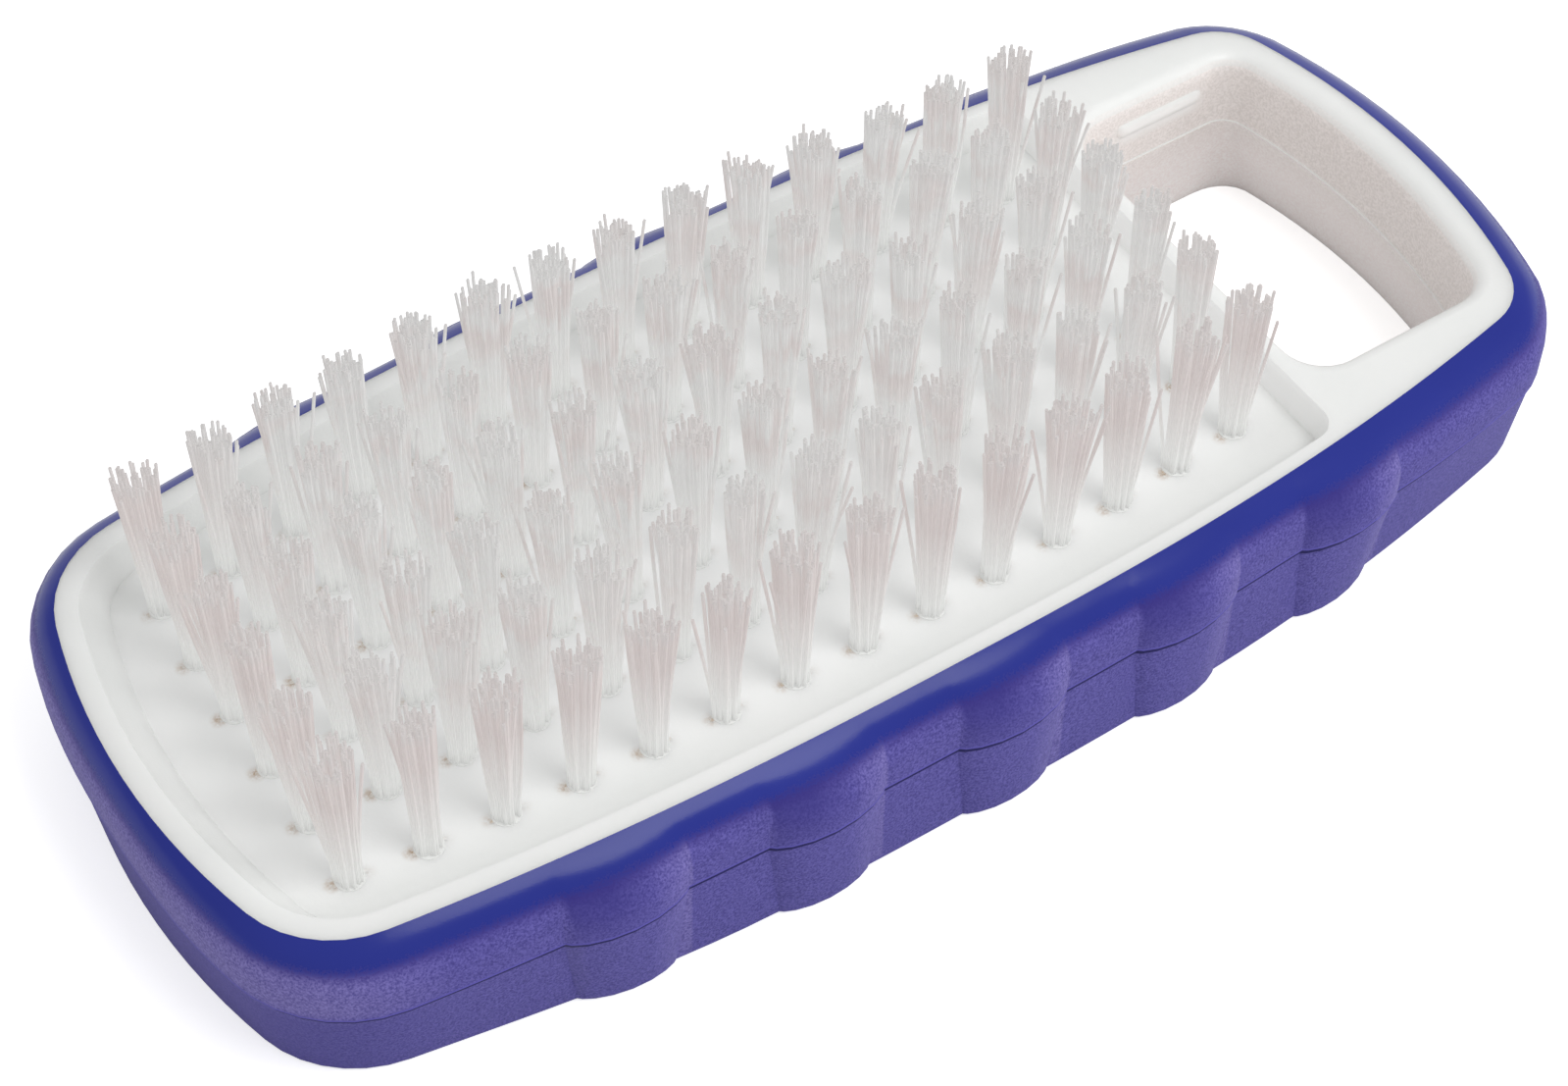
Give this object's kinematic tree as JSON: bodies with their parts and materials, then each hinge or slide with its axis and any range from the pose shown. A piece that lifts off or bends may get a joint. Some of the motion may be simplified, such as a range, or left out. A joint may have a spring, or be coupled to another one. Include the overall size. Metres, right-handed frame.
{
  "type": "nail brush",
  "caption": "Nail brush with a white moulded block, bristle tufts in a sunk field, a hanging window at one end and a soft blue grip with finger bumps round its edge.",
  "frame": {"origin": "middle of the brush's length and width, on its flat back", "axes": "+X along the brush from the heel towards the hanging window, +Y across it, +Z from the flat back towards the bristle tips"},
  "size_m": [0.1232, 0.0566, 0.0284],
  "materials": {
    "block": "satin injection-moulded white plastic",
    "grip": "satin indigo soft-touch rubber with a fine spark-eroded grain",
    "bristle": "translucent off-white nylon filament",
    "anchor": "drawn flat wire"
  },
  "bodies": {
    "root": {"brush_block": "block", "soft_grip": "grip", "tuft_column_01": "bristle", "tuft_column_02": "bristle", "tuft_column_03": "bristle", "tuft_column_04": "bristle", "tuft_column_05": "bristle", "tuft_column_06": "bristle", "tuft_column_07": "bristle", "tuft_column_08": "bristle", "tuft_column_09": "bristle", "tuft_column_10": "bristle", "tuft_column_11": "bristle", "tuft_column_12": "bristle", "tuft_column_13": "bristle", "tuft_column_14": "bristle", "anchor_column_01": "anchor", "anchor_column_02": "anchor", "anchor_column_03": "anchor", "anchor_column_04": "anchor", "anchor_column_05": "anchor", "anchor_column_06": "anchor", "anchor_column_07": "anchor", "anchor_column_08": "anchor", "anchor_column_09": "anchor", "anchor_column_10": "anchor", "anchor_column_11": "anchor", "anchor_column_12": "anchor", "anchor_column_13": "anchor", "anchor_column_14": "anchor"}
  },
  "joints": []
}
